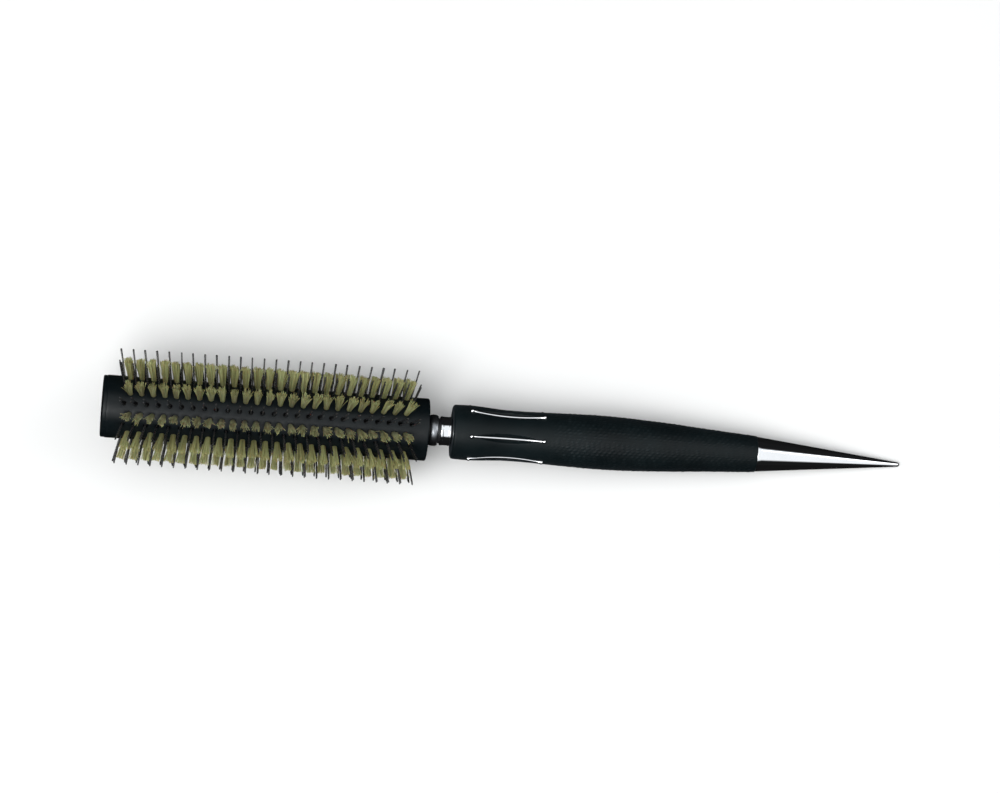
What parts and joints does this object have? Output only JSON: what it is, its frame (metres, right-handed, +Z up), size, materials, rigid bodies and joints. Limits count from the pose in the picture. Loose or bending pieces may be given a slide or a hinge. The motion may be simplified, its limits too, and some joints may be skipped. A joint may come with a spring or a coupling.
{
  "type": "round hair brush",
  "caption": "Slim round styling brush: drilled barrel with leaning boar tufts and nylon quills, soft handle with bright grip bars, and a pointed sectioning tail.",
  "frame": {"origin": "on the brush's axis, at the flat front face of the barrel's end cap", "axes": "+Z up from the table that the brush lies on; +X towards the tip of the tail, with the brush's axis leaning 6.17 degrees below it, as the brush lies with its quills and the end of its handle on the table"},
  "size_m": [0.2698, 0.0392, 0.0487],
  "materials": {
    "barrel": "satin black moulded plastic",
    "end_cap": "satin black moulded plastic",
    "neck": "satin black",
    "boar": "pale yellow natural bristle",
    "nylon": "dark translucent nylon with rounded tips",
    "anchor_wire": "flat drawn wire",
    "rod_steel": "drawn steel",
    "collar": "satin gunmetal",
    "bright_metal": "polished",
    "core_plastic": "moulded",
    "soft_grip": "soft touch with a fine raised diagonal pattern",
    "tail_metal": "polished"
  },
  "bodies": {
    "root": {"barrel_body": "barrel", "barrel_end_cap": "end_cap", "neck_plug": "neck", "core_rod": "rod_steel", "boar_tufts_row_01": "boar", "boar_tufts_row_02": "boar", "boar_tufts_row_03": "boar", "boar_tufts_row_04": "boar", "boar_tufts_row_05": "boar", "boar_tufts_row_06": "boar", "boar_tufts_row_07": "boar", "boar_tufts_row_08": "boar", "boar_tufts_row_09": "boar", "quills_row_01": "nylon", "quills_row_02": "nylon", "quills_row_03": "nylon", "quills_row_04": "nylon", "quills_row_05": "nylon", "quills_row_06": "nylon", "quills_row_07": "nylon", "quills_row_08": "nylon", "quills_row_09": "nylon", "quills_front_ring": "nylon", "quills_rear_ring": "nylon", "tuft_anchors": "anchor_wire", "quill_anchors": "anchor_wire", "neck_collar": "collar", "neck_ring": "bright_metal", "handle_core": "core_plastic", "grip_sleeve": "soft_grip", "grip_bar_1": "bright_metal", "grip_bar_2": "bright_metal", "grip_bar_3": "bright_metal", "grip_bar_4": "bright_metal", "grip_bar_5": "bright_metal", "grip_bar_6": "bright_metal", "tail_cone": "tail_metal", "tail_stud": "rod_steel"}
  },
  "joints": []
}
